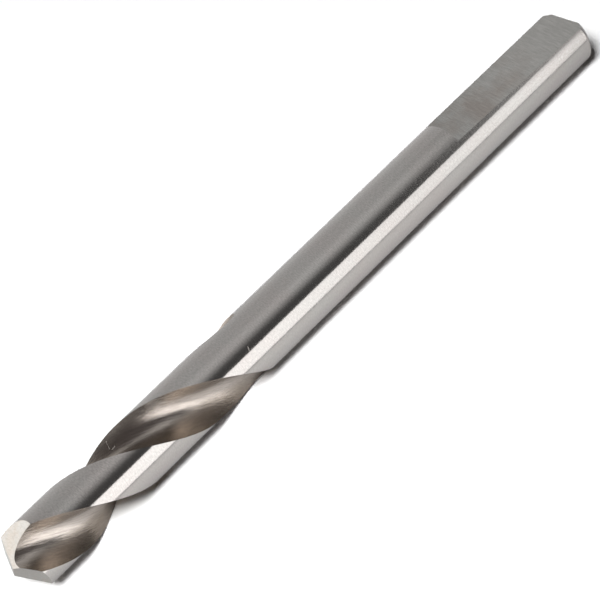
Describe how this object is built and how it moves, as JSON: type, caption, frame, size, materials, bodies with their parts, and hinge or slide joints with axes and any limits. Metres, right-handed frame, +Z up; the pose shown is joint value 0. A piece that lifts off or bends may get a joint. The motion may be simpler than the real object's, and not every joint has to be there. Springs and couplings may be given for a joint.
{
  "type": "hole saw pilot drill",
  "caption": "Short steel twist drill with a split point, helical flutes on its front half and a plain round shank with a flat for a set screw, made to centre a hole saw",
  "frame": {"origin": "on the surface that the drill lies on, under the middle of its length", "axes": "+X runs along the drill from its point to its shank's end, +Z is up, out of the side that has the set screw's flat"},
  "size_m": [0.0794, 0.0064, 0.0063],
  "materials": {
    "ground_steel": "bare high speed steel, ground bright, with ground flutes of a straw tint"
  },
  "bodies": {
    "root": {"pilot_drill": "ground_steel"}
  },
  "joints": []
}
